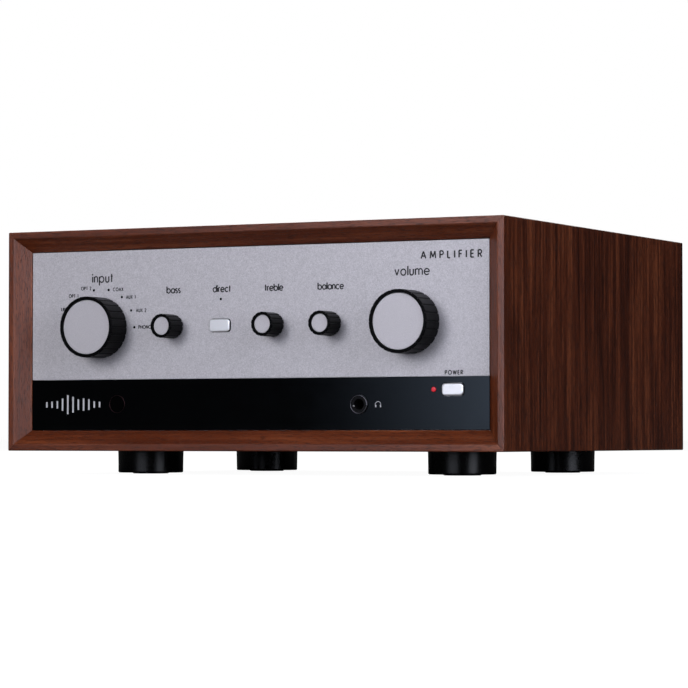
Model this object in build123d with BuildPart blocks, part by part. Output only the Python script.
from build123d import *

import os

os.makedirs("parts", exist_ok=True)

# An integrated stereo amplifier: a mitred walnut sleeve around a steel chassis, an aluminium
# fascia over a glossy lower band, five turning controls, two push buttons and a rear panel of
# sockets.  X runs to the right as seen from the front, Y to the back and Z up.  The origin is
# on the ground, in the middle of the overall width and depth.

# ------------------------------------------------------------------ driving dimensions (mm)
CASE_WIDTH = 326
CASE_HEIGHT = 131
CASE_DEPTH = 276
BOARD = 12  # thickness of the four cabinet boards
LAND = 4  # flat front edge of a board, outside its bevel
FOOT_HEIGHT = 14
KNOB_PROUD = 9.4  # large knobs in front of the cabinet's front edge
TERMINAL_PROUD = 20  # speaker terminals behind the cabinet's back edge
REAR_RECESS = 4  # rear panel inside the cabinet's back edge
PANEL = 3  # thickness of the fascia and of the lower band
PANEL_GAP = 0.4  # shadow gap between the front panels and the cabinet
SEAM = 0.2  # gap between the fascia and the lower band
BAND_HEIGHT = 29.7
STANDOFF = 7  # front panels to the steel bracket behind them
CONTROL_DEPTH = 12  # bracket to the circuit board that carries the controls
SHEET = 1.2  # steel sheet
CIRCUIT_BOARD = 1.6
RUNNING = 0.05  # radial clearance of a shaft in its bearing
SLIP = 0.02  # radial clearance of pieces that are fixed to each other

# ------------------------------------------------------------------ stations along Y
FRONT = KNOB_PROUD - (KNOB_PROUD + CASE_DEPTH + TERMINAL_PROUD) / 2
BACK = FRONT + CASE_DEPTH
BEVEL = BOARD - LAND
PANEL_FACE = FRONT + BEVEL
PANEL_BACK = PANEL_FACE + PANEL
BRACKET_FACE = PANEL_BACK + STANDOFF
BRACKET_BACK = BRACKET_FACE + SHEET
BOARD_FACE = BRACKET_BACK + CONTROL_DEPTH
REAR_FACE = BACK - REAR_RECESS
REAR_INNER = REAR_FACE - SHEET
REAR_END = BACK + TERMINAL_PROUD

# ------------------------------------------------------------------ heights
BASE = FOOT_HEIGHT
TOP = BASE + CASE_HEIGHT
MIDDLE = (BASE + TOP) / 2
OPENING_WIDTH = CASE_WIDTH - 2 * BOARD
OPENING_BOTTOM = BASE + BOARD
OPENING_TOP = TOP - BOARD
BAND_BOTTOM = OPENING_BOTTOM + PANEL_GAP
BAND_TOP = BAND_BOTTOM + BAND_HEIGHT
FASCIA_BOTTOM = BAND_TOP + SEAM
FASCIA_TOP = OPENING_TOP - PANEL_GAP
KNOB_AXIS = BASE + 73
TRAY_TOP = OPENING_BOTTOM + SHEET


def facing_front(y):
    """Sketch plane at depth y that faces the front: its own x is X and its own y is Z."""
    return Plane.XZ.offset(-y)


def ring_of(centre, radius, angles):
    """Points on a circle in the XZ plane, with angles clockwise from the top."""
    spots = []
    for angle in angles:
        spot = Vector(0, radius).rotate(Axis.Z, -angle)
        spots.append((centre[0] + spot.X, centre[1] + spot.Y))
    return spots


def d_section(radius, flat_depth):
    """Section of a round shaft with one flat, or of the bore that fits it."""
    with BuildSketch() as section:
        Circle(radius)
        with Locations((0, radius)):
            Rectangle(2 * radius, 2 * flat_depth, mode=Mode.SUBTRACT)
    return section.sketch


# ------------------------------------------------------------------ cabinet
FOOT_X = 105
FOOT_INSET = 70  # front feet behind the cabinet's front edge
FOOT_SPACING = 148
FOOT_ROWS = (FRONT + FOOT_INSET, FRONT + FOOT_INSET + FOOT_SPACING)
FOOT_SPOTS = [(x, y) for x in (-FOOT_X, FOOT_X) for y in FOOT_ROWS]
FOOT_SCREW_RADIUS = 2
FOOT_SCREW_HOLE = 2.3


def corner(side, level, inset):
    """Corner of the cabinet's cross-section; side and level are -1 or 1."""
    return (side * (CASE_WIDTH / 2 - inset), MIDDLE + level * (CASE_HEIGHT / 2 - inset))


CABINET_BOARDS = {
    "cabinet_top": ((-1, 1), (1, 1)),
    "cabinet_bottom": ((-1, -1), (1, -1)),
    "cabinet_left_side": ((-1, -1), (-1, 1)),
    "cabinet_right_side": ((1, -1), (1, 1)),
}
for name, (first, second) in CABINET_BOARDS.items():
    with BuildPart() as board:
        with BuildSketch(facing_front(BACK)):
            with BuildLine():
                Polyline(
                    corner(*first, 0),
                    corner(*second, 0),
                    corner(*second, BOARD),
                    corner(*first, BOARD),
                    close=True,
                )
            make_face()
        extrude(amount=CASE_DEPTH)
        front_face = board.faces().sort_by(Axis.Y)[0]
        inner_edge = front_face.edges().sort_by_distance((0, FRONT, MIDDLE))[0]
        chamfer(inner_edge, BEVEL)
        if name == "cabinet_bottom":
            with Locations(*[(x, y, BASE + BOARD / 2) for x, y in FOOT_SPOTS]):
                Hole(FOOT_SCREW_HOLE, BOARD)
    board.part.label = name
    export_step(board.part, f"parts/{name}.step")

# ------------------------------------------------------------------ feet
FOOT_RADIUS = 20
FOOT_TAPER = 1  # degrees
FOOT_ROUND = 0.8
PAD_RADIUS = 11
PAD_PROUD = 0.6
PAD_SEAT = 1.5
PAD_ROUND = 0.6
HEAD_SEAT = 4
FOOT_HEAD_RADIUS = 3.8
FOOT_HEAD_HEIGHT = 2.6
FOOT_HEAD_CLEARANCE = 0.6

with BuildPart() as feet:
    with BuildSketch(Plane.XY.offset(BASE)):
        with Locations(*FOOT_SPOTS):
            Circle(FOOT_RADIUS)
    extrude(amount=PAD_PROUD - BASE, taper=FOOT_TAPER)
    fillet(feet.edges().filter_by(GeomType.CIRCLE).group_by(Axis.Z)[0], FOOT_ROUND)
    with Locations(*[Plane((x, y, PAD_PROUD), z_dir=(0, 0, -1)) for x, y in FOOT_SPOTS]):
        CounterBoreHole(FOOT_SCREW_HOLE, PAD_RADIUS + SLIP, PAD_SEAT, BASE)
        CounterBoreHole(
            FOOT_SCREW_HOLE,
            FOOT_HEAD_RADIUS + FOOT_HEAD_CLEARANCE,
            PAD_SEAT + HEAD_SEAT,
            BASE,
        )
feet.part.label = "feet"
export_step(feet.part, "parts/feet.step")

with BuildPart() as foot_pads:
    with BuildSketch(Plane.XY):
        with Locations(*FOOT_SPOTS):
            Circle(PAD_RADIUS)
    extrude(amount=PAD_PROUD + PAD_SEAT)
    fillet(foot_pads.edges().group_by(Axis.Z)[0], PAD_ROUND)
foot_pads.part.label = "foot_pads"
export_step(foot_pads.part, "parts/foot_pads.step")

HEAD_BEARING = PAD_PROUD + PAD_SEAT + HEAD_SEAT
FOOT_SCREW_PROUD = 3  # screw tip above the tray's floor
FOOT_SCREW_TIP = TRAY_TOP + FOOT_SCREW_PROUD
with BuildPart() as foot_screws:
    with BuildSketch(Plane.XY.offset(HEAD_BEARING)):
        with Locations(*FOOT_SPOTS):
            Circle(FOOT_HEAD_RADIUS)
    extrude(amount=-FOOT_HEAD_HEIGHT)
    with BuildSketch(Plane.XY.offset(HEAD_BEARING)):
        with Locations(*FOOT_SPOTS):
            Circle(FOOT_SCREW_RADIUS)
    extrude(amount=FOOT_SCREW_TIP - HEAD_BEARING)
foot_screws.part.label = "foot_screws"
export_step(foot_screws.part, "parts/foot_screws.step")

# ------------------------------------------------------------------ controls: where they are
LARGE_KNOB = {"radius": 18, "disc_radius": 16, "proud": KNOB_PROUD + BEVEL, "flutes": 24}
SMALL_KNOB = {"radius": 7, "disc_radius": 5.3, "proud": 14.5, "flutes": 14}
CONTROLS = {
    "input": (-102.5, LARGE_KNOB),
    "volume": (102, LARGE_KNOB),
    "bass": (-53, SMALL_KNOB),
    "treble": (14, SMALL_KNOB),
    "balance": (51, SMALL_KNOB),
}
CONTROL_SPOTS = [(x, KNOB_AXIS) for x, style in CONTROLS.values()]
INPUT_SPOT = (CONTROLS["input"][0], KNOB_AXIS)

DIRECT_BUTTON = {"spot": (-21.2, KNOB_AXIS + 0.1), "width": 13.6, "height": 7.4}
POWER_BUTTON = {"spot": (128.4, BASE + 34.9), "width": 13.2, "height": 6.8}
BUTTONS = {"direct": DIRECT_BUTTON, "power": POWER_BUTTON}
BUTTON_SPOTS = [button["spot"] for button in BUTTONS.values()]
BUTTON_MARGIN = 0.35  # gap around a button in its hole
BUTTON_CORNER = 2
BUTTON_PROUD = 1.5
BUTTON_TRAVEL = 1

SOURCE_RING = 23
SOURCE_STEP = 180 / 7
SOURCE_ANGLES = [SOURCE_STEP * step - 90 for step in range(8)]
SOURCE_SPOTS = ring_of(INPUT_SPOT, SOURCE_RING, SOURCE_ANGLES)
DIRECT_LAMP_SPOT = (-20.9, BASE + 88.5)
GUIDE_SPOTS = SOURCE_SPOTS + [DIRECT_LAMP_SPOT]
GUIDE_RADIUS = 0.75
POWER_LAMP_SPOT = (116.3, BASE + 34.9)
POWER_LAMP_RADIUS = 1.5
WINDOW_SPOT = (-91.3, BASE + 27.7)
WINDOW_RADIUS = 5.1
PHONES_SPOT = (69.4, BASE + 26.8)
PHONES_BUSHING = 4.7

SHAFT_RADIUS = 3
SHAFT_HOLE = 5
BUSHING_RADIUS = 3.5
BUSHING_REACH = 5  # bushing in front of the bracket

PANEL_SCREW_X = (-143, 0, 143)
FASCIA_SCREW_SPOTS = [(x, z) for x in PANEL_SCREW_X for z in (BASE + 49, BASE + 112)]
BAND_SCREW_SPOTS = [(x, BASE + 20) for x in PANEL_SCREW_X]
PANEL_SCREW_SPOTS = FASCIA_SCREW_SPOTS + BAND_SCREW_SPOTS

# ------------------------------------------------------------------ front panels
with BuildPart() as fascia_plate:
    with BuildSketch(facing_front(PANEL_BACK)):
        with Locations((0, (FASCIA_BOTTOM + FASCIA_TOP) / 2)):
            Rectangle(OPENING_WIDTH - 2 * PANEL_GAP, FASCIA_TOP - FASCIA_BOTTOM)
        with Locations(*CONTROL_SPOTS):
            Circle(SHAFT_HOLE, mode=Mode.SUBTRACT)
        with Locations(*GUIDE_SPOTS):
            Circle(GUIDE_RADIUS + RUNNING, mode=Mode.SUBTRACT)
        with Locations(DIRECT_BUTTON["spot"]):
            RectangleRounded(
                DIRECT_BUTTON["width"] + 2 * BUTTON_MARGIN,
                DIRECT_BUTTON["height"] + 2 * BUTTON_MARGIN,
                BUTTON_CORNER + BUTTON_MARGIN,
                mode=Mode.SUBTRACT,
            )
    extrude(amount=PANEL)
fascia_plate.part.label = "fascia_plate"
export_step(fascia_plate.part, "parts/fascia_plate.step")

with BuildPart() as lower_band:
    with BuildSketch(facing_front(PANEL_BACK)):
        with Locations((0, (BAND_BOTTOM + BAND_TOP) / 2)):
            Rectangle(OPENING_WIDTH - 2 * PANEL_GAP, BAND_HEIGHT)
        with Locations(POWER_LAMP_SPOT):
            Circle(POWER_LAMP_RADIUS + RUNNING, mode=Mode.SUBTRACT)
        with Locations(WINDOW_SPOT):
            Circle(WINDOW_RADIUS + RUNNING, mode=Mode.SUBTRACT)
        with Locations(PHONES_SPOT):
            Circle(PHONES_BUSHING + RUNNING, mode=Mode.SUBTRACT)
        with Locations(POWER_BUTTON["spot"]):
            RectangleRounded(
                POWER_BUTTON["width"] + 2 * BUTTON_MARGIN,
                POWER_BUTTON["height"] + 2 * BUTTON_MARGIN,
                BUTTON_CORNER + BUTTON_MARGIN,
                mode=Mode.SUBTRACT,
            )
    extrude(amount=PANEL)
lower_band.part.label = "lower_band"
export_step(lower_band.part, "parts/lower_band.step")

# ------------------------------------------------------------------ front bracket and fixings
BRACKET_HALF_WIDTH = 149
BRACKET_TOP = BASE + 117
BRACKET_FLANGE = 12
STEM_HOLE = 4
GUIDE_HOLE = 1.2
WINDOW_HOLE = 6
PHONES_WIDTH = 16
PHONES_HEIGHT = 18
PHONES_MARGIN = 1
M3_RADIUS = 1.5
M3_HOLE = 1.6
M3_HEAD_RADIUS = 2.75
M3_HEAD_HEIGHT = 2
FLANGE_SCREW_SPOTS = [(x, BRACKET_BACK + BRACKET_FLANGE / 2) for x in (-125, 0, 125)]

with BuildPart() as front_bracket:
    with BuildSketch(facing_front(BRACKET_BACK)):
        with Locations((0, (TRAY_TOP + BRACKET_TOP) / 2)):
            Rectangle(2 * BRACKET_HALF_WIDTH, BRACKET_TOP - TRAY_TOP)
        with Locations(*CONTROL_SPOTS):
            Circle(BUSHING_RADIUS + SLIP, mode=Mode.SUBTRACT)
        with Locations(*BUTTON_SPOTS):
            Circle(STEM_HOLE, mode=Mode.SUBTRACT)
        with Locations(*GUIDE_SPOTS):
            Circle(GUIDE_HOLE, mode=Mode.SUBTRACT)
        with Locations(POWER_LAMP_SPOT):
            Circle(POWER_LAMP_RADIUS + GUIDE_HOLE - GUIDE_RADIUS, mode=Mode.SUBTRACT)
        with Locations(WINDOW_SPOT):
            Circle(WINDOW_HOLE, mode=Mode.SUBTRACT)
        with Locations(*PANEL_SCREW_SPOTS):
            Circle(M3_HOLE, mode=Mode.SUBTRACT)
        with Locations(PHONES_SPOT):
            Rectangle(
                PHONES_WIDTH + 2 * PHONES_MARGIN,
                PHONES_HEIGHT + 2 * PHONES_MARGIN,
                mode=Mode.SUBTRACT,
            )
    extrude(amount=SHEET)
    with BuildSketch(Plane.XY.offset(TRAY_TOP)):
        with Locations((0, BRACKET_BACK + BRACKET_FLANGE / 2)):
            Rectangle(2 * BRACKET_HALF_WIDTH, BRACKET_FLANGE)
        with Locations(*FLANGE_SCREW_SPOTS):
            Circle(M3_HOLE, mode=Mode.SUBTRACT)
    extrude(amount=SHEET)
front_bracket.part.label = "front_bracket"
export_step(front_bracket.part, "parts/front_bracket.step")

# ------------------------------------------------------------------ knobs, discs and shafts
KNOB_LIFT = 0.4  # back of a knob in front of the fascia
RIM_ROUND = 0.6
DISC_RECESS = 1.1  # face of the disc behind the rim
FLUTE_RADIUS = 0.55
FLUTE_CENTRE = 0.1  # flute's axis outside the knob's radius
DISC = 1.8
DISC_GROOVE = 0.15
DISC_CHAMFER = 0.25
FLAT_DEPTH = 1.5
SHAFT_REACH = 8  # flatted shaft inside a knob
SHAFT_REAR_GAP = 2
BUSHING_FRONT = BRACKET_FACE - BUSHING_REACH
SHAFT_BACK = BOARD_FACE - SHAFT_REAR_GAP

for name, (x, style) in CONTROLS.items():
    spot = (x, KNOB_AXIS)
    knob_back = PANEL_FACE - KNOB_LIFT
    rim_face = PANEL_FACE - style["proud"]
    disc_face = rim_face + DISC_RECESS
    disc_seat = disc_face + DISC
    shaft_tip = knob_back - SHAFT_REACH

    with BuildPart() as knob:
        with BuildSketch(facing_front(knob_back)):
            with Locations(spot):
                Circle(style["radius"])
        extrude(amount=knob_back - rim_face)
        fillet(knob.faces().sort_by(Axis.Y)[0].edges(), RIM_ROUND)
        with BuildSketch(facing_front(knob_back)):
            with Locations(spot):
                with PolarLocations(style["radius"] + FLUTE_CENTRE, style["flutes"]):
                    Circle(FLUTE_RADIUS)
        extrude(amount=knob_back - rim_face, mode=Mode.SUBTRACT)
        with BuildSketch(facing_front(disc_seat)):
            with Locations(spot):
                Circle(style["disc_radius"] + DISC_GROOVE)
        extrude(amount=DISC + DISC_RECESS, mode=Mode.SUBTRACT)
        with BuildSketch(facing_front(knob_back)):
            with Locations(spot):
                add(d_section(SHAFT_RADIUS + SLIP, FLAT_DEPTH))
        extrude(amount=SHAFT_REACH, mode=Mode.SUBTRACT)
    knob.part.label = f"{name}_knob"
    export_step(knob.part, f"parts/{name}_knob.step")

    with BuildPart() as knob_disc:
        with BuildSketch(facing_front(disc_seat)):
            with Locations(spot):
                Circle(style["disc_radius"])
        extrude(amount=DISC)
        chamfer(knob_disc.faces().sort_by(Axis.Y)[0].edges(), DISC_CHAMFER)
    knob_disc.part.label = f"{name}_knob_disc"
    export_step(knob_disc.part, f"parts/{name}_knob_disc.step")

    with BuildPart() as shaft:
        with BuildSketch(facing_front(SHAFT_BACK)):
            with Locations(spot):
                Circle(SHAFT_RADIUS)
        extrude(amount=SHAFT_BACK - BUSHING_FRONT)
        with BuildSketch(facing_front(BUSHING_FRONT)):
            with Locations(spot):
                add(d_section(SHAFT_RADIUS, FLAT_DEPTH))
        extrude(amount=BUSHING_FRONT - shaft_tip)
    shaft.part.label = f"{name}_shaft"
    export_step(shaft.part, f"parts/{name}_shaft.step")

# ------------------------------------------------------------------ encoder and potentiometers
SHAFT_END_PLAY = 0.5
SMALL_CASE = 17  # width of the encoder's and the tone controls' housings
VOLUME_CASE = 25
TONE_CASE_HEIGHT = 20
TURNING_PARTS = {
    "input_encoder": (["input"], SMALL_CASE, SMALL_CASE),
    "volume_potentiometer": (["volume"], VOLUME_CASE, VOLUME_CASE),
    "tone_potentiometers": (["bass", "treble", "balance"], SMALL_CASE, TONE_CASE_HEIGHT),
}
for name, (controls, width, height) in TURNING_PARTS.items():
    spots = [(CONTROLS[control][0], KNOB_AXIS) for control in controls]
    with BuildPart() as turning_part:
        with BuildSketch(facing_front(BOARD_FACE)):
            with Locations(*spots):
                Rectangle(width, height)
        extrude(amount=CONTROL_DEPTH)
        with BuildSketch(facing_front(BRACKET_BACK)):
            with Locations(*spots):
                Circle(BUSHING_RADIUS)
        extrude(amount=BRACKET_BACK - BUSHING_FRONT)
        with BuildSketch(facing_front(BUSHING_FRONT)):
            with Locations(*spots):
                Circle(SHAFT_RADIUS + RUNNING)
        bore_depth = SHAFT_BACK + SHAFT_END_PLAY - BUSHING_FRONT
        extrude(amount=-bore_depth, mode=Mode.SUBTRACT)
    turning_part.part.label = name
    export_step(turning_part.part, f"parts/{name}.step")

# ------------------------------------------------------------------ push buttons and switches
SWITCH_SIDE = 12
SWITCH_DEPTH = 6
PLUNGER_OUT = 1.6  # narrow tip of a button's stem in front of its switch when released
PLUNGER_IN = 2.5
PLUNGER_RADIUS = 1.6
STEM_RADIUS = 2.5
BUTTON_FLANGE = 1
BUTTON_FLANGE_LIP = 1  # flange wider than the cap, all round
FLANGE_GAP = 0.2  # flange behind its panel when released
CAP_ROUND = 0.8
SWITCH_FACE = BOARD_FACE - SWITCH_DEPTH
STEM_END = SWITCH_FACE - PLUNGER_OUT
FLANGE_FRONT = PANEL_BACK + FLANGE_GAP
FLANGE_BACK = FLANGE_FRONT + BUTTON_FLANGE

for name, button in BUTTONS.items():
    with BuildPart() as push_button:
        with BuildSketch(facing_front(FLANGE_FRONT)):
            with Locations(button["spot"]):
                RectangleRounded(button["width"], button["height"], BUTTON_CORNER)
        extrude(amount=FLANGE_FRONT - PANEL_FACE + BUTTON_PROUD)
        fillet(push_button.faces().sort_by(Axis.Y)[0].edges(), CAP_ROUND)
        with BuildSketch(facing_front(FLANGE_BACK)):
            with Locations(button["spot"]):
                RectangleRounded(
                    button["width"] + 2 * BUTTON_FLANGE_LIP,
                    button["height"] + 2 * BUTTON_FLANGE_LIP,
                    BUTTON_CORNER,
                )
        extrude(amount=BUTTON_FLANGE)
        with BuildSketch(facing_front(STEM_END)):
            with Locations(button["spot"]):
                Circle(STEM_RADIUS)
        extrude(amount=STEM_END - FLANGE_BACK)
        with BuildSketch(facing_front(STEM_END)):
            with Locations(button["spot"]):
                Circle(PLUNGER_RADIUS)
        extrude(amount=-(PLUNGER_OUT + PLUNGER_IN))
    push_button.part.label = f"{name}_button"
    export_step(push_button.part, f"parts/{name}_button.step")

with BuildPart() as button_switches:
    with BuildSketch(facing_front(BOARD_FACE)):
        with Locations(*BUTTON_SPOTS):
            Rectangle(SWITCH_SIDE, SWITCH_SIDE)
    extrude(amount=SWITCH_DEPTH)
    with BuildSketch(facing_front(SWITCH_FACE)):
        with Locations(*BUTTON_SPOTS):
            Circle(PLUNGER_RADIUS + RUNNING)
    extrude(amount=-(PLUNGER_IN + BUTTON_TRAVEL + SHAFT_END_PLAY), mode=Mode.SUBTRACT)
button_switches.part.label = "button_switches"
export_step(button_switches.part, "parts/button_switches.step")

# ------------------------------------------------------------------ lamps and remote window
LED_HEIGHT = 1.5
LED_WIDTH = 2
LAMP_PROUD = 0.8
LAMP_ROUND = 0.7
GUIDE_BACK = BOARD_FACE - LED_HEIGHT

with BuildPart() as light_guides:
    with BuildSketch(facing_front(GUIDE_BACK)):
        with Locations(*GUIDE_SPOTS):
            Circle(GUIDE_RADIUS)
    extrude(amount=GUIDE_BACK - PANEL_FACE)
light_guides.part.label = "light_guides"
export_step(light_guides.part, "parts/light_guides.step")

with BuildPart() as power_lamp:
    with BuildSketch(facing_front(GUIDE_BACK)):
        with Locations(POWER_LAMP_SPOT):
            Circle(POWER_LAMP_RADIUS)
    extrude(amount=GUIDE_BACK - PANEL_FACE + LAMP_PROUD)
    fillet(power_lamp.faces().sort_by(Axis.Y)[0].edges(), LAMP_ROUND)
power_lamp.part.label = "power_lamp"
export_step(power_lamp.part, "parts/power_lamp.step")

WINDOW_FLANGE = 1
WINDOW_FLANGE_LIP = 1.5
with BuildPart() as remote_window:
    with BuildSketch(facing_front(PANEL_BACK)):
        with Locations(WINDOW_SPOT):
            Circle(WINDOW_RADIUS)
    extrude(amount=PANEL)
    with BuildSketch(facing_front(PANEL_BACK)):
        with Locations(WINDOW_SPOT):
            Circle(WINDOW_RADIUS + WINDOW_FLANGE_LIP)
    extrude(amount=-WINDOW_FLANGE)
remote_window.part.label = "remote_window"
export_step(remote_window.part, "parts/remote_window.step")

RECEIVER_WIDTH = 8
RECEIVER_HEIGHT = 9
RECEIVER_DEPTH = 5
CONTROL_BOARD_HALF_WIDTH = 138
CONTROL_BOARD_BOTTOM = BASE + 16
CONTROL_BOARD_TOP = BASE + 103
with BuildPart() as control_board:
    with BuildSketch(facing_front(BOARD_FACE + CIRCUIT_BOARD)):
        with Locations((0, (CONTROL_BOARD_BOTTOM + CONTROL_BOARD_TOP) / 2)):
            Rectangle(2 * CONTROL_BOARD_HALF_WIDTH, CONTROL_BOARD_TOP - CONTROL_BOARD_BOTTOM)
        with Locations(PHONES_SPOT):
            Rectangle(
                PHONES_WIDTH + 2 * PHONES_MARGIN,
                PHONES_HEIGHT + 2 * PHONES_MARGIN,
                mode=Mode.SUBTRACT,
            )
    extrude(amount=CIRCUIT_BOARD)
    # The light-emitting chips and the remote receiver are soldered to the board's front.
    with BuildSketch(facing_front(BOARD_FACE)):
        with Locations(*GUIDE_SPOTS, POWER_LAMP_SPOT):
            Rectangle(LED_WIDTH, LED_WIDTH)
    extrude(amount=LED_HEIGHT)
    with BuildSketch(facing_front(BOARD_FACE)):
        with Locations(WINDOW_SPOT):
            Rectangle(RECEIVER_WIDTH, RECEIVER_HEIGHT)
    extrude(amount=RECEIVER_DEPTH)
control_board.part.label = "control_board"
export_step(control_board.part, "parts/control_board.step")

# ------------------------------------------------------------------ headphone socket
PHONES_PROUD = 0.5  # bushing in front of the lower band
PHONES_DEPTH = 32
PHONES_BORE = 3.25
PHONES_END_WALL = 2
PHONES_NUT_RADIUS = 5.6
PHONES_NUT_CHAMFER = 0.3
PHONES_MOUTH = PANEL_FACE - PHONES_PROUD

with BuildPart() as headphone_socket:
    with BuildSketch(facing_front(PHONES_MOUTH + PHONES_DEPTH + PHONES_END_WALL)):
        with Locations(PHONES_SPOT):
            Rectangle(PHONES_WIDTH, PHONES_HEIGHT)
    extrude(amount=PHONES_MOUTH + PHONES_DEPTH + PHONES_END_WALL - PANEL_BACK)
    with BuildSketch(facing_front(PANEL_BACK)):
        with Locations(PHONES_SPOT):
            Circle(PHONES_BUSHING)
    extrude(amount=PANEL_BACK - PHONES_MOUTH)
    with BuildSketch(facing_front(PHONES_MOUTH)):
        with Locations(PHONES_SPOT):
            Circle(PHONES_BORE)
    extrude(amount=-PHONES_DEPTH, mode=Mode.SUBTRACT)
headphone_socket.part.label = "headphone_socket"
export_step(headphone_socket.part, "parts/headphone_socket.step")

with BuildPart() as headphone_nut:
    with BuildSketch(facing_front(PANEL_FACE)):
        with Locations(PHONES_SPOT):
            Circle(PHONES_NUT_RADIUS)
            Circle(PHONES_BUSHING + SLIP, mode=Mode.SUBTRACT)
    extrude(amount=PHONES_PROUD + PHONES_NUT_CHAMFER)
    outer_edge = headphone_nut.faces().sort_by(Axis.Y)[0].edges().sort_by(SortBy.LENGTH)[-1]
    chamfer(outer_edge, PHONES_NUT_CHAMFER)
headphone_nut.part.label = "headphone_nut"
export_step(headphone_nut.part, "parts/headphone_nut.step")

# ------------------------------------------------------------------ rear panel layout
INLET_SPOT = (-118, BASE + 42)
ROCKER_SPOT = (-118, BASE + 86)
TERMINAL_SPOTS = [(x, BASE + 42) for x in (-76, -57, -28, -9)]
GROUND_SPOT = (16, BASE + 70)
PHONO_SPOTS = [(x, z) for x in (36, 56, 76) for z in (BASE + 61, BASE + 79)]
COAXIAL_SPOT = (98, BASE + 61)
ROUND_SOCKET_SPOTS = [*PHONO_SPOTS, COAXIAL_SPOT]
COMPUTER_SPOT = (122, BASE + 61)
OPTICAL_SPOTS = [(x, BASE + 80) for x in (98, 122)]

INLET_WIDTH = 27
INLET_HEIGHT = 20
ROCKER_CUT_WIDTH = 13
ROCKER_CUT_HEIGHT = 20
TERMINAL_HOLE = 2.6
GROUND_HOLE = 2.1
PHONO_FLANGE_RADIUS = 5.5
PHONO_HOLE = 4.3
OPTICAL_SIDE = 9.8
COMPUTER_WIDTH = 12
COMPUTER_HEIGHT = 10.6
VENT_WIDTH = 3
VENT_HEIGHT = 14
VENT_PITCH = 8
VENT_COUNT = 20
VENT_Z = BASE + 106
REAR_HALF_WIDTH = OPENING_WIDTH / 2 - PANEL_GAP
REAR_SCREW_SPOTS = [(x, BASE + 20) for x in (-140, -40, 60, 140)]
CUT_MARGIN = 0.1  # gap between a socket's body and its cut-out

with BuildPart() as rear_panel:
    with BuildSketch(facing_front(REAR_FACE)):
        with Locations((0, (BAND_BOTTOM + FASCIA_TOP) / 2)):
            Rectangle(2 * REAR_HALF_WIDTH, FASCIA_TOP - BAND_BOTTOM)
        with Locations(INLET_SPOT):
            Rectangle(INLET_WIDTH + 2 * CUT_MARGIN, INLET_HEIGHT + 2 * CUT_MARGIN, mode=Mode.SUBTRACT)
        with Locations(ROCKER_SPOT):
            Rectangle(
                ROCKER_CUT_WIDTH + 2 * CUT_MARGIN,
                ROCKER_CUT_HEIGHT + 2 * CUT_MARGIN,
                mode=Mode.SUBTRACT,
            )
        with Locations(*TERMINAL_SPOTS):
            Circle(TERMINAL_HOLE, mode=Mode.SUBTRACT)
        with Locations(GROUND_SPOT):
            Circle(GROUND_HOLE, mode=Mode.SUBTRACT)
        with Locations(*ROUND_SOCKET_SPOTS):
            Circle(PHONO_HOLE, mode=Mode.SUBTRACT)
        with Locations(*OPTICAL_SPOTS):
            Rectangle(OPTICAL_SIDE + 2 * CUT_MARGIN, OPTICAL_SIDE + 2 * CUT_MARGIN, mode=Mode.SUBTRACT)
        with Locations(COMPUTER_SPOT):
            Rectangle(
                COMPUTER_WIDTH + 2 * CUT_MARGIN,
                COMPUTER_HEIGHT + 2 * CUT_MARGIN,
                mode=Mode.SUBTRACT,
            )
        with Locations(*REAR_SCREW_SPOTS):
            Circle(M3_HOLE, mode=Mode.SUBTRACT)
        with Locations((0, VENT_Z)):
            with GridLocations(VENT_PITCH, VENT_HEIGHT, VENT_COUNT, 1):
                SlotOverall(VENT_HEIGHT, VENT_WIDTH, rotation=90, mode=Mode.SUBTRACT)
    extrude(amount=SHEET)
rear_panel.part.label = "rear_panel"
export_step(rear_panel.part, "parts/rear_panel.step")

# ------------------------------------------------------------------ chassis tray
TRAY_HALF_WIDTH = 149.5
TRAY_WALL = 18
TRANSFORMER_SPOT = (-92, FRONT + 140)
TRANSFORMER_BOLT = 3
TRAY_FRONT = BRACKET_FACE

with BuildPart() as chassis_tray:
    with BuildSketch(Plane.XY.offset(OPENING_BOTTOM)):
        with Locations((0, (TRAY_FRONT + REAR_INNER) / 2)):
            Rectangle(2 * TRAY_HALF_WIDTH, REAR_INNER - TRAY_FRONT)
    extrude(amount=TRAY_WALL)
    with BuildSketch(Plane.XY.offset(TRAY_TOP)):
        with Locations((0, TRAY_FRONT + (REAR_INNER - TRAY_FRONT) / 2 - SHEET)):
            Rectangle(2 * (TRAY_HALF_WIDTH - SHEET), REAR_INNER - TRAY_FRONT)
    extrude(amount=TRAY_WALL, mode=Mode.SUBTRACT)
    # The side walls start behind the bracket's bottom flange.
    with BuildSketch(Plane.XY.offset(TRAY_TOP)):
        with Locations((0, TRAY_FRONT + (SHEET + BRACKET_FLANGE) / 2)):
            Rectangle(2 * TRAY_HALF_WIDTH, SHEET + BRACKET_FLANGE)
    extrude(amount=TRAY_WALL, mode=Mode.SUBTRACT)
    with BuildSketch(Plane.XY.offset(OPENING_BOTTOM)):
        with Locations(*FOOT_SPOTS):
            Circle(FOOT_SCREW_RADIUS + SLIP)
        with Locations(*FLANGE_SCREW_SPOTS):
            Circle(M3_RADIUS + SLIP)
        with Locations(TRANSFORMER_SPOT):
            Circle(TRANSFORMER_BOLT + SLIP)
    extrude(amount=SHEET, mode=Mode.SUBTRACT)
    with BuildSketch(facing_front(REAR_INNER)):
        with Locations(*REAR_SCREW_SPOTS):
            Circle(M3_RADIUS + SLIP)
    extrude(amount=SHEET, mode=Mode.SUBTRACT)
chassis_tray.part.label = "chassis_tray"
export_step(chassis_tray.part, "parts/chassis_tray.step")

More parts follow.
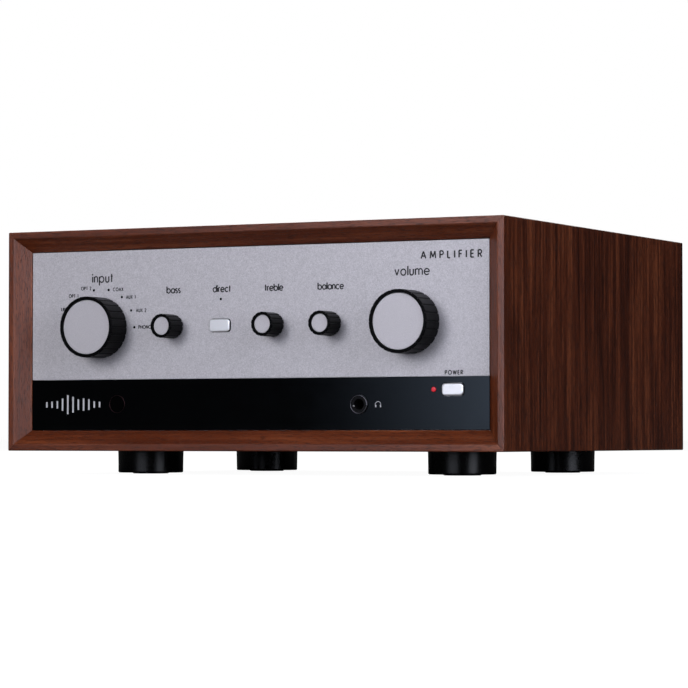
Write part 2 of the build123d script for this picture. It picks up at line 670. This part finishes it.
# ------------------------------------------------------------------ transformer
COIL_OUTER = 52
COIL_INNER = 16
COIL_HEIGHT = 46
COIL_ROUND = 9
CLAMP_RADIUS = 34
CLAMP_DISH = 5
CLAMP_BOTTOM = TRAY_TOP + COIL_HEIGHT
BOLT_SEAT = CLAMP_BOTTOM + SHEET - CLAMP_DISH
BOLT_HEAD_RADIUS = 5.8
BOLT_HEAD_HEIGHT = 4

with BuildPart() as transformer:
    with BuildSketch(Plane.XY.offset(TRAY_TOP)):
        with Locations(TRANSFORMER_SPOT):
            Circle(COIL_OUTER)
            Circle(COIL_INNER, mode=Mode.SUBTRACT)
    extrude(amount=COIL_HEIGHT)
    fillet(transformer.edges().filter_by(GeomType.CIRCLE), COIL_ROUND)
transformer.part.label = "transformer"
export_step(transformer.part, "parts/transformer.step")

with BuildPart() as transformer_clamp:
    with BuildSketch(Plane.XY.offset(CLAMP_BOTTOM)):
        with Locations(TRANSFORMER_SPOT):
            Circle(CLAMP_RADIUS)
    extrude(amount=SHEET)
    with BuildSketch(Plane.XY.offset(CLAMP_BOTTOM)):
        with Locations(TRANSFORMER_SPOT):
            Circle(COIL_INNER - SHEET)
    extrude(amount=-CLAMP_DISH)
    with BuildSketch(Plane.XY.offset(CLAMP_BOTTOM + SHEET)):
        with Locations(TRANSFORMER_SPOT):
            Circle(COIL_INNER - 2 * SHEET)
    extrude(amount=-CLAMP_DISH, mode=Mode.SUBTRACT)
    with Locations((*TRANSFORMER_SPOT, CLAMP_BOTTOM)):
        Hole(TRANSFORMER_BOLT + SLIP, 2 * CLAMP_DISH)
    # The bolt is a second solid, through the dished washer and into the tray.
    with BuildSketch(Plane.XY.offset(BOLT_SEAT)):
        with Locations(TRANSFORMER_SPOT):
            RegularPolygon(BOLT_HEAD_RADIUS, 6)
    extrude(amount=BOLT_HEAD_HEIGHT)
    with BuildSketch(Plane.XY.offset(BOLT_SEAT)):
        with Locations(TRANSFORMER_SPOT):
            Circle(TRANSFORMER_BOLT)
    extrude(amount=OPENING_BOTTOM - BOLT_SEAT)
transformer_clamp.part.label = "transformer_clamp"
export_step(transformer_clamp.part, "parts/transformer_clamp.step")

# ------------------------------------------------------------------ main board and its parts
MAIN_LIFT = 8
MAIN_LEFT = -34
MAIN_RIGHT = 144
MAIN_FRONT = FRONT + 62
MAIN_REAR = FRONT + 226
MAIN_BOTTOM = TRAY_TOP + MAIN_LIFT
MAIN_TOP = MAIN_BOTTOM + CIRCUIT_BOARD
PILLAR_INSET = 6
PILLAR_SPOTS = [
    (x, y)
    for x in (MAIN_LEFT + PILLAR_INSET, MAIN_RIGHT - PILLAR_INSET)
    for y in (MAIN_FRONT + PILLAR_INSET, MAIN_REAR - PILLAR_INSET)
]

with BuildPart() as main_board:
    with BuildSketch(Plane.XY.offset(MAIN_BOTTOM)):
        with Locations(((MAIN_LEFT + MAIN_RIGHT) / 2, (MAIN_FRONT + MAIN_REAR) / 2)):
            Rectangle(MAIN_RIGHT - MAIN_LEFT, MAIN_REAR - MAIN_FRONT)
        with Locations(*PILLAR_SPOTS):
            Circle(M3_HOLE, mode=Mode.SUBTRACT)
    extrude(amount=CIRCUIT_BOARD)
main_board.part.label = "main_board"
export_step(main_board.part, "parts/main_board.step")

# ------------------------------------------------------------------ standoffs and M3 screws
STANDOFF_RADIUS = 3.5
SCREW_BITE = 5  # thread beyond the sheet or board that a screw holds
with BuildPart() as standoffs:
    with BuildSketch(facing_front(BRACKET_FACE)):
        with Locations(*PANEL_SCREW_SPOTS):
            RegularPolygon(STANDOFF_RADIUS, 6)
            Circle(M3_RADIUS + SLIP, mode=Mode.SUBTRACT)
    extrude(amount=STANDOFF)
    with BuildSketch(Plane.XY.offset(TRAY_TOP)):
        with Locations(*PILLAR_SPOTS):
            RegularPolygon(STANDOFF_RADIUS, 6)
            Circle(M3_RADIUS + SLIP, mode=Mode.SUBTRACT)
    extrude(amount=MAIN_LIFT)
standoffs.part.label = "standoffs"
export_step(standoffs.part, "parts/standoffs.step")


def m3_screws(seat, spots, length):
    """Pan-head screws whose heads stand on the seat plane's positive side."""
    with BuildSketch(seat) as heads:
        with Locations(*spots):
            Circle(M3_HEAD_RADIUS)
    extrude(heads.sketch, amount=M3_HEAD_HEIGHT)
    with BuildSketch(seat) as shanks:
        with Locations(*spots):
            Circle(M3_RADIUS)
    extrude(shanks.sketch, amount=-length)


def facing_back(y):
    """Sketch plane at depth y that faces the back: its own x is -X and its own y is Z."""
    return Plane((0, y, 0), x_dir=(-1, 0, 0), z_dir=(0, 1, 0))


def seen_from_back(spots):
    """The same spots in the coordinates of a plane that faces the back."""
    return [(-x, z) for x, z in spots]


with BuildPart() as m3_screw_set:
    m3_screws(facing_back(BRACKET_BACK), seen_from_back(PANEL_SCREW_SPOTS), SHEET + SCREW_BITE)
    m3_screws(facing_back(REAR_FACE), seen_from_back(REAR_SCREW_SPOTS), SHEET + SCREW_BITE)
    m3_screws(Plane.XY.offset(TRAY_TOP + SHEET), FLANGE_SCREW_SPOTS, 2 * SHEET)
    m3_screws(Plane.XY.offset(MAIN_TOP), PILLAR_SPOTS, CIRCUIT_BOARD + SCREW_BITE)
m3_screw_set.part.label = "m3_screws"
export_step(m3_screw_set.part, "parts/m3_screws.step")

# ------------------------------------------------------------------ parts on the main board
SINK_FACE = 118  # heatsink face that carries the transistors
SINK_BASE = 4
SINK_FIN = 2
SINK_FIN_LENGTH = 16
SINK_FIN_PITCH = 8
SINK_FINS = 8
SINK_LENGTH = 144
SINK_BACK = FRONT + 216
SINK_HEIGHT = (SINK_FINS - 1) * SINK_FIN_PITCH + SINK_FIN

with BuildPart() as heatsink:
    with BuildSketch(facing_front(SINK_BACK)):
        with Locations((SINK_FACE + SINK_BASE / 2, MAIN_TOP + SINK_HEIGHT / 2)):
            Rectangle(SINK_BASE, SINK_HEIGHT)
        fin_middle = SINK_FACE + SINK_BASE + SINK_FIN_LENGTH / 2
        with Locations((fin_middle, MAIN_TOP + SINK_HEIGHT / 2)):
            with GridLocations(SINK_FIN_LENGTH, SINK_FIN_PITCH, 1, SINK_FINS):
                Rectangle(SINK_FIN_LENGTH, SINK_FIN)
    extrude(amount=SINK_LENGTH)
heatsink.part.label = "heatsink"
export_step(heatsink.part, "parts/heatsink.step")

TRANSISTOR_WIDTH = 15.6
TRANSISTOR_HEIGHT = 20
TRANSISTOR_DEPTH = 5
TRANSISTOR_PITCH = 34
TRANSISTOR_LIFT = 12
with BuildPart() as power_transistors:
    with BuildSketch(Plane.YZ.offset(SINK_FACE)):
        with Locations((SINK_BACK - SINK_LENGTH / 2, MAIN_TOP + TRANSISTOR_LIFT + TRANSISTOR_HEIGHT / 2)):
            with GridLocations(TRANSISTOR_PITCH, TRANSISTOR_HEIGHT, 4, 1):
                Rectangle(TRANSISTOR_WIDTH, TRANSISTOR_HEIGHT)
    extrude(amount=-TRANSISTOR_DEPTH)
power_transistors.part.label = "power_transistors"
export_step(power_transistors.part, "parts/power_transistors.step")

CAPACITOR_RADIUS = 12.5
CAPACITOR_HEIGHT = 42
CAPACITOR_PITCH = 32
with BuildPart() as reservoir_capacitors:
    with BuildSketch(Plane.XY.offset(MAIN_TOP)):
        with Locations((MAIN_LEFT + 2 * CAPACITOR_PITCH, MAIN_FRONT + CAPACITOR_PITCH)):
            with GridLocations(CAPACITOR_PITCH, CAPACITOR_PITCH, 2, 2):
                Circle(CAPACITOR_RADIUS)
    extrude(amount=CAPACITOR_HEIGHT)
    fillet(reservoir_capacitors.edges().group_by(Axis.Z)[-1], CAP_ROUND)
reservoir_capacitors.part.label = "reservoir_capacitors"
export_step(reservoir_capacitors.part, "parts/reservoir_capacitors.step")

# ------------------------------------------------------------------ rear sockets
SOCKET_DEPTH = 12  # socket bodies inside the rear panel
SOCKET_BACK = REAR_INNER - SOCKET_DEPTH
SOCKET_BLOCK = 9.6
SHELL_RADIUS = 4.15
SHELL_INNER = 3.4
SHELL_LENGTH = 9
CORE_RADIUS = 2.5
CORE_SETBACK = 0.6
CONTACT_RADIUS = 1.6
FLANGE = 1
SHELL_END = REAR_FACE + FLANGE + SHELL_LENGTH

with BuildPart() as phono_sockets:
    with BuildSketch(facing_front(REAR_INNER)):
        with Locations(*ROUND_SOCKET_SPOTS):
            Rectangle(SOCKET_BLOCK, SOCKET_BLOCK)
    extrude(amount=SOCKET_DEPTH)
    with BuildSketch(facing_front(REAR_INNER)):
        with Locations(*ROUND_SOCKET_SPOTS):
            Circle(SHELL_RADIUS)
    extrude(amount=REAR_INNER - SHELL_END)
    with BuildSketch(facing_front(REAR_FACE)):
        with Locations(*ROUND_SOCKET_SPOTS):
            Circle(PHONO_FLANGE_RADIUS)
    extrude(amount=-FLANGE)
    with BuildSketch(facing_front(SHELL_END)):
        with Locations(*ROUND_SOCKET_SPOTS):
            Circle(SHELL_INNER)
            Circle(CORE_RADIUS, mode=Mode.SUBTRACT)
    extrude(amount=SHELL_LENGTH, mode=Mode.SUBTRACT)
    with BuildSketch(facing_front(SHELL_END)):
        with Locations(*ROUND_SOCKET_SPOTS):
            Circle(CORE_RADIUS)
    extrude(amount=CORE_SETBACK, mode=Mode.SUBTRACT)
    with BuildSketch(facing_front(SHELL_END)):
        with Locations(*ROUND_SOCKET_SPOTS):
            Circle(CONTACT_RADIUS)
    extrude(amount=SHELL_LENGTH, mode=Mode.SUBTRACT)
phono_sockets.part.label = "phono_sockets"
export_step(phono_sockets.part, "parts/phono_sockets.step")

OPTICAL_RECESS = 7.4
OPTICAL_DEPTH = 6
COMPUTER_WALL = 0.8
COMPUTER_DEPTH = 9
TONGUE_WIDTH = 5.6
TONGUE_HEIGHT = 3.2
with BuildPart() as digital_sockets:
    with BuildSketch(facing_front(SOCKET_BACK)):
        with Locations(*OPTICAL_SPOTS):
            Rectangle(OPTICAL_SIDE, OPTICAL_SIDE)
        with Locations(COMPUTER_SPOT):
            Rectangle(COMPUTER_WIDTH, COMPUTER_HEIGHT)
    extrude(amount=SOCKET_BACK - REAR_FACE)
    with BuildSketch(facing_front(REAR_FACE)):
        with Locations(*OPTICAL_SPOTS):
            Rectangle(OPTICAL_RECESS, OPTICAL_RECESS)
    extrude(amount=OPTICAL_DEPTH, mode=Mode.SUBTRACT)
    with BuildSketch(facing_front(REAR_FACE)):
        with Locations(COMPUTER_SPOT):
            Rectangle(COMPUTER_WIDTH - 2 * COMPUTER_WALL, COMPUTER_HEIGHT - 2 * COMPUTER_WALL)
            Rectangle(TONGUE_WIDTH, TONGUE_HEIGHT, mode=Mode.SUBTRACT)
    extrude(amount=COMPUTER_DEPTH, mode=Mode.SUBTRACT)
digital_sockets.part.label = "digital_sockets"
export_step(digital_sockets.part, "parts/digital_sockets.step")

# ------------------------------------------------------------------ speaker terminals
POST_FLANGE_RADIUS = 8
POST_FLANGE = 3
STUD_RADIUS = 3
BANANA_RADIUS = 2
BANANA_DEPTH = 16
STUD_SETBACK = 0.5  # stud behind the end of its cap
TAIL_RADIUS = 2.5
TAIL_LENGTH = 12
TERMINAL_CAP_RADIUS = 7
TERMINAL_CAP_FLUTES = 12
TERMINAL_CAP_GAP = 0.2
POST_FACE = REAR_FACE + POST_FLANGE
STUD_END = REAR_END - STUD_SETBACK

with BuildPart() as terminal_posts:
    with BuildSketch(facing_front(REAR_FACE)):
        with Locations(*TERMINAL_SPOTS):
            Circle(POST_FLANGE_RADIUS)
    extrude(amount=-POST_FLANGE)
    with BuildSketch(facing_front(POST_FACE)):
        with Locations(*TERMINAL_SPOTS):
            Circle(STUD_RADIUS)
    extrude(amount=POST_FACE - STUD_END)
    with BuildSketch(facing_front(REAR_FACE)):
        with Locations(*TERMINAL_SPOTS):
            Circle(TAIL_RADIUS)
    extrude(amount=SHEET + TAIL_LENGTH)
    with BuildSketch(facing_front(STUD_END)):
        with Locations(*TERMINAL_SPOTS):
            Circle(BANANA_RADIUS)
    extrude(amount=BANANA_DEPTH, mode=Mode.SUBTRACT)
terminal_posts.part.label = "terminal_posts"
export_step(terminal_posts.part, "parts/terminal_posts.step")

TERMINAL_NAMES = ["right_negative", "right_positive", "left_negative", "left_positive"]
for name, spot in zip(TERMINAL_NAMES, TERMINAL_SPOTS):
    with BuildPart() as terminal_cap:
        with BuildSketch(facing_front(POST_FACE + TERMINAL_CAP_GAP)):
            with Locations(spot):
                Circle(TERMINAL_CAP_RADIUS)
        extrude(amount=POST_FACE + TERMINAL_CAP_GAP - REAR_END)
        fillet(terminal_cap.faces().sort_by(Axis.Y)[-1].edges(), RIM_ROUND)
        with BuildSketch(facing_front(POST_FACE + TERMINAL_CAP_GAP)):
            with Locations(spot):
                with PolarLocations(TERMINAL_CAP_RADIUS + FLUTE_CENTRE, TERMINAL_CAP_FLUTES):
                    Circle(2 * FLUTE_RADIUS)
        extrude(amount=POST_FACE + TERMINAL_CAP_GAP - REAR_END, mode=Mode.SUBTRACT)
        with BuildSketch(facing_front(REAR_END)):
            with Locations(spot):
                Circle(STUD_RADIUS + RUNNING)
        extrude(amount=REAR_END - POST_FACE - TERMINAL_CAP_GAP, mode=Mode.SUBTRACT)
    terminal_cap.part.label = f"{name}_cap"
    export_step(terminal_cap.part, f"parts/{name}_cap.step")

# ------------------------------------------------------------------ ground terminal and nuts
GROUND_HEAD_RADIUS = 5
GROUND_HEAD = 7
GROUND_HEAD_GAP = 2.5  # room for a wire under the head
GROUND_RADIUS = 2
GROUND_TAIL = 8
GROUND_FLUTES = 10
GROUND_HEAD_BACK = REAR_FACE + GROUND_HEAD_GAP
with BuildPart() as ground_screw:
    with BuildSketch(facing_front(GROUND_HEAD_BACK)):
        with Locations(GROUND_SPOT):
            Circle(GROUND_HEAD_RADIUS)
            with PolarLocations(GROUND_HEAD_RADIUS + FLUTE_CENTRE, GROUND_FLUTES):
                Circle(FLUTE_RADIUS, mode=Mode.SUBTRACT)
    extrude(amount=-GROUND_HEAD)
    with BuildSketch(facing_front(GROUND_HEAD_BACK)):
        with Locations(GROUND_SPOT):
            Circle(GROUND_RADIUS)
    extrude(amount=GROUND_HEAD_GAP + SHEET + GROUND_TAIL)
ground_screw.part.label = "ground_screw"
export_step(ground_screw.part, "parts/ground_screw.step")

BUSHING_NUT_RADIUS = 5.8
TERMINAL_NUT_RADIUS = 5.2
GROUND_NUT_RADIUS = 4.4
NUT_THICKNESS = 2.4
with BuildPart() as panel_nuts:
    with BuildSketch(facing_front(BRACKET_FACE)):
        with Locations(*CONTROL_SPOTS):
            RegularPolygon(BUSHING_NUT_RADIUS, 6)
            Circle(BUSHING_RADIUS + SLIP, mode=Mode.SUBTRACT)
    extrude(amount=NUT_THICKNESS)
    with BuildSketch(facing_front(REAR_INNER)):
        with Locations(*TERMINAL_SPOTS):
            RegularPolygon(TERMINAL_NUT_RADIUS, 6)
            Circle(TAIL_RADIUS + SLIP, mode=Mode.SUBTRACT)
        with Locations(GROUND_SPOT):
            RegularPolygon(GROUND_NUT_RADIUS, 6)
            Circle(GROUND_RADIUS + RUNNING, mode=Mode.SUBTRACT)
    extrude(amount=NUT_THICKNESS)
panel_nuts.part.label = "panel_nuts"
export_step(panel_nuts.part, "parts/panel_nuts.step")

# ------------------------------------------------------------------ mains inlet
INLET_FLANGE_WIDTH = 34
INLET_FLANGE_HEIGHT = 25
INLET_FLANGE = 2.5
INLET_DEPTH = 22
INLET_WALL = 1.6
INLET_CAVITY = 16
INLET_CORNER = 3
BLADE_WIDTH = 2
BLADE_HEIGHT = 4
BLADE_LENGTH = 14
BLADE_TAIL = 8
BLADE_SPREAD = 7
BLADE_DROP = 2
with BuildPart() as mains_inlet:
    with BuildSketch(facing_front(REAR_FACE)):
        with Locations(INLET_SPOT):
            RectangleRounded(INLET_FLANGE_WIDTH, INLET_FLANGE_HEIGHT, INLET_CORNER)
    extrude(amount=-INLET_FLANGE)
    with BuildSketch(facing_front(REAR_FACE)):
        with Locations(INLET_SPOT):
            Rectangle(INLET_WIDTH, INLET_HEIGHT)
    extrude(amount=INLET_DEPTH)
    with BuildSketch(facing_front(REAR_FACE + INLET_FLANGE)):
        with Locations(INLET_SPOT):
            RectangleRounded(INLET_WIDTH - 2 * INLET_WALL, INLET_HEIGHT - 2 * INLET_WALL, INLET_CORNER)
    extrude(amount=INLET_CAVITY, mode=Mode.SUBTRACT)
    blade_spots = [
        (INLET_SPOT[0] - BLADE_SPREAD, INLET_SPOT[1] - BLADE_DROP),
        (INLET_SPOT[0], INLET_SPOT[1] + BLADE_DROP),
        (INLET_SPOT[0] + BLADE_SPREAD, INLET_SPOT[1] - BLADE_DROP),
    ]
    with BuildSketch(facing_front(REAR_FACE)):
        with Locations(*blade_spots):
            Rectangle(BLADE_WIDTH, BLADE_HEIGHT)
    extrude(amount=INLET_DEPTH, mode=Mode.SUBTRACT)
mains_inlet.part.label = "mains_inlet"
export_step(mains_inlet.part, "parts/mains_inlet.step")

with BuildPart() as mains_blades:
    with BuildSketch(facing_front(REAR_FACE + INLET_FLANGE - INLET_CAVITY + BLADE_LENGTH)):
        with Locations(*blade_spots):
            Rectangle(BLADE_WIDTH, BLADE_HEIGHT)
    extrude(amount=BLADE_LENGTH + INLET_DEPTH + INLET_FLANGE - INLET_CAVITY + BLADE_TAIL)
mains_blades.part.label = "mains_blades"
export_step(mains_blades.part, "parts/mains_blades.step")

# ------------------------------------------------------------------ mains rocker switch
ROCKER_FLANGE_WIDTH = 15
ROCKER_FLANGE_HEIGHT = 23
ROCKER_FLANGE = 1.6
ROCKER_BODY_DEPTH = 16
ROCKER_CAVITY_DEPTH = 9
ROCKER_WALL = 1
ROCKER_SINK = 3  # pivot inside the rear panel's outer face
ROCKER_RADIUS = 8.8
ROCKER_TIP_ANGLE = 47
ROCKER_VALLEY = 4.4
ROCKER_HEEL = 2.5
ROCKER_WIDTH = 10.6
ROCKER_TILT = 9  # degrees to either side of level
TRUNNION_RADIUS = 1.2
PIVOT = (ROCKER_SPOT[0], REAR_FACE - ROCKER_SINK, ROCKER_SPOT[1])

with BuildPart() as rocker_housing:
    with BuildSketch(facing_front(REAR_FACE)):
        with Locations(ROCKER_SPOT):
            Rectangle(ROCKER_FLANGE_WIDTH, ROCKER_FLANGE_HEIGHT)
    extrude(amount=-ROCKER_FLANGE)
    with BuildSketch(facing_front(REAR_FACE)):
        with Locations(ROCKER_SPOT):
            Rectangle(ROCKER_CUT_WIDTH, ROCKER_CUT_HEIGHT)
    extrude(amount=ROCKER_BODY_DEPTH)
    with BuildSketch(facing_front(REAR_FACE + ROCKER_FLANGE)):
        with Locations(ROCKER_SPOT):
            Rectangle(ROCKER_CUT_WIDTH - 2 * ROCKER_WALL, ROCKER_CUT_HEIGHT - 2 * ROCKER_WALL)
    extrude(amount=ROCKER_CAVITY_DEPTH + ROCKER_FLANGE, mode=Mode.SUBTRACT)
    with BuildSketch(Plane.YZ.offset(ROCKER_SPOT[0] - ROCKER_CUT_WIDTH / 2)):
        with Locations((PIVOT[1], PIVOT[2])):
            Circle(TRUNNION_RADIUS + RUNNING)
    extrude(amount=ROCKER_CUT_WIDTH, mode=Mode.SUBTRACT)
rocker_housing.part.label = "rocker_housing"
export_step(rocker_housing.part, "parts/rocker_housing.step")


def rocker_outline():
    """Two facets that meet in a shallow valley, round ends about the pivot, and a flat heel."""
    heel_rise = (ROCKER_RADIUS**2 - ROCKER_HEEL**2) ** 0.5
    tip = Vector(ROCKER_RADIUS, 0).rotate(Axis.Z, ROCKER_TIP_ANGLE)
    with BuildSketch() as outline:
        with BuildLine():
            Polyline((tip.X, -tip.Y), (ROCKER_VALLEY, 0), (tip.X, tip.Y))
            RadiusArc((tip.X, tip.Y), (-ROCKER_HEEL, heel_rise), -ROCKER_RADIUS)
            Line((-ROCKER_HEEL, heel_rise), (-ROCKER_HEEL, -heel_rise))
            RadiusArc((-ROCKER_HEEL, -heel_rise), (tip.X, -tip.Y), -ROCKER_RADIUS)
        make_face()
    return outline.sketch


# The rocker turns on two trunnions, and stands tilted to its switched-on side.
with BuildPart() as mains_rocker:
    with BuildSketch(Plane.YZ.offset(ROCKER_SPOT[0] - ROCKER_WIDTH / 2)):
        with Locations(Location((PIVOT[1], PIVOT[2], 0), (0, 0, ROCKER_TILT))):
            add(rocker_outline())
    extrude(amount=ROCKER_WIDTH)
    with BuildSketch(Plane.YZ.offset(ROCKER_SPOT[0] - ROCKER_CUT_WIDTH / 2)):
        with Locations((PIVOT[1], PIVOT[2])):
            Circle(TRUNNION_RADIUS)
    extrude(amount=ROCKER_CUT_WIDTH)
mains_rocker.part.label = "mains_rocker"
export_step(mains_rocker.part, "parts/mains_rocker.step")
